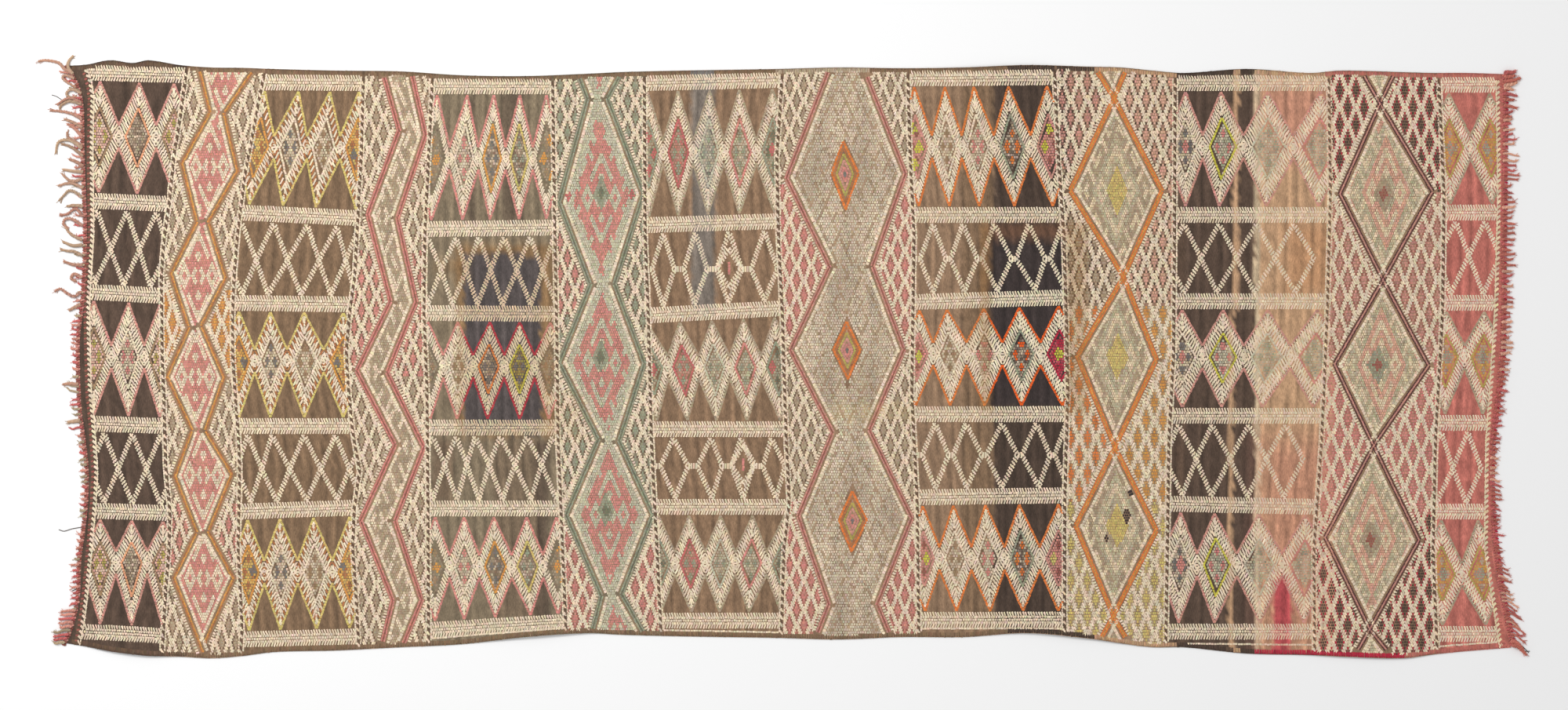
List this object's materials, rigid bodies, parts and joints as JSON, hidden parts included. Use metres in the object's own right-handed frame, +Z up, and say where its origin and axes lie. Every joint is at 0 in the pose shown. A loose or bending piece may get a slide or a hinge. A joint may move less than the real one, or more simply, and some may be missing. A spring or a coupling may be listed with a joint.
{
  "type": "moroccan rug",
  "caption": "Long flat-woven wool rug laid flat, with brocaded diamond and zigzag columns, white bars and a short fringe at each end.",
  "frame": {"origin": "middle of the whole rug's box in plan, on the floor it lies on", "axes": "+X along the rug from the faded end to the red end, +Y across it, +Z up from the floor"},
  "size_m": [3.7944, 1.5394, 0.0096],
  "materials": {
    "woven_wool": "flat-woven wool with raised brocade, a little faded",
    "fringe_faded": "twined wool strip with plied warp ends, faded red and grey-beige",
    "fringe_red": "twined wool strip with short warp tufts, red and beige"
  },
  "bodies": {
    "root": {"cloth": "woven_wool", "fringe_left": "fringe_faded", "fringe_right": "fringe_red"}
  },
  "joints": []
}
